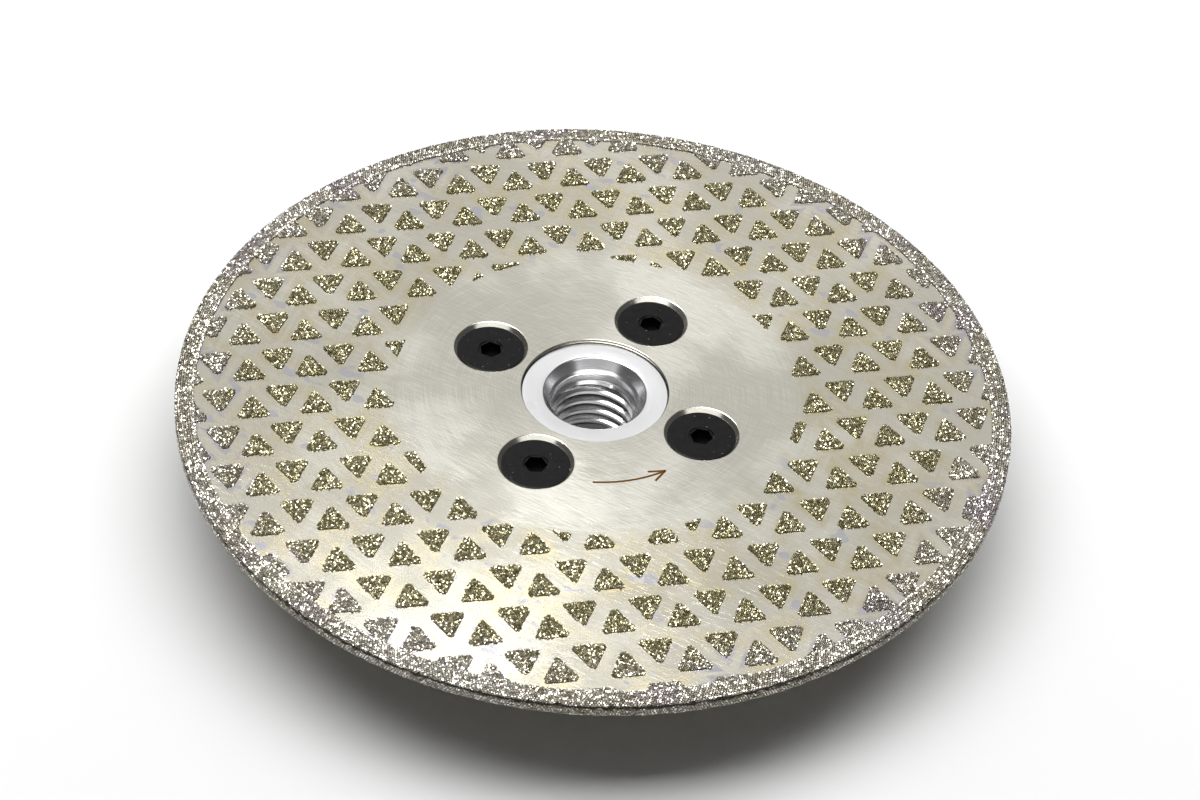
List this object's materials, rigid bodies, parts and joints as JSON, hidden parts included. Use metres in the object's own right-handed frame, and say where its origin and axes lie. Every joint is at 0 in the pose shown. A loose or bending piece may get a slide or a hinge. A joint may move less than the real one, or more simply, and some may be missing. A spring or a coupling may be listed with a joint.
{
  "type": "diamond grinding and cutting disc",
  "caption": "Flat steel angle-grinder disc with a gritted rim, triangular grit segments on both faces and a threaded aluminium flange fixed by countersunk screws.",
  "frame": {"origin": "centre of the flange's back face, which seats on the grinder's spindle shoulder", "axes": "+Z along the spindle axis towards the working side; the four screws lie on the X and Y axes"},
  "size_m": [0.125, 0.125, 0.0143],
  "materials": {
    "blade_steel": "nickel-plated steel, fine circular and crossed brushing",
    "diamond_coating": "coarse diamond grit held in a nickel plating",
    "flange_aluminium": "turned, satin",
    "screw_black": "black oxide steel"
  },
  "bodies": {
    "root": {"blade_core": "blade_steel", "rim_coating": "diamond_coating", "top_segments": "diamond_coating", "back_segments": "diamond_coating", "flange": "flange_aluminium", "screw_1": "screw_black", "screw_2": "screw_black", "screw_3": "screw_black", "screw_4": "screw_black"}
  },
  "joints": []
}
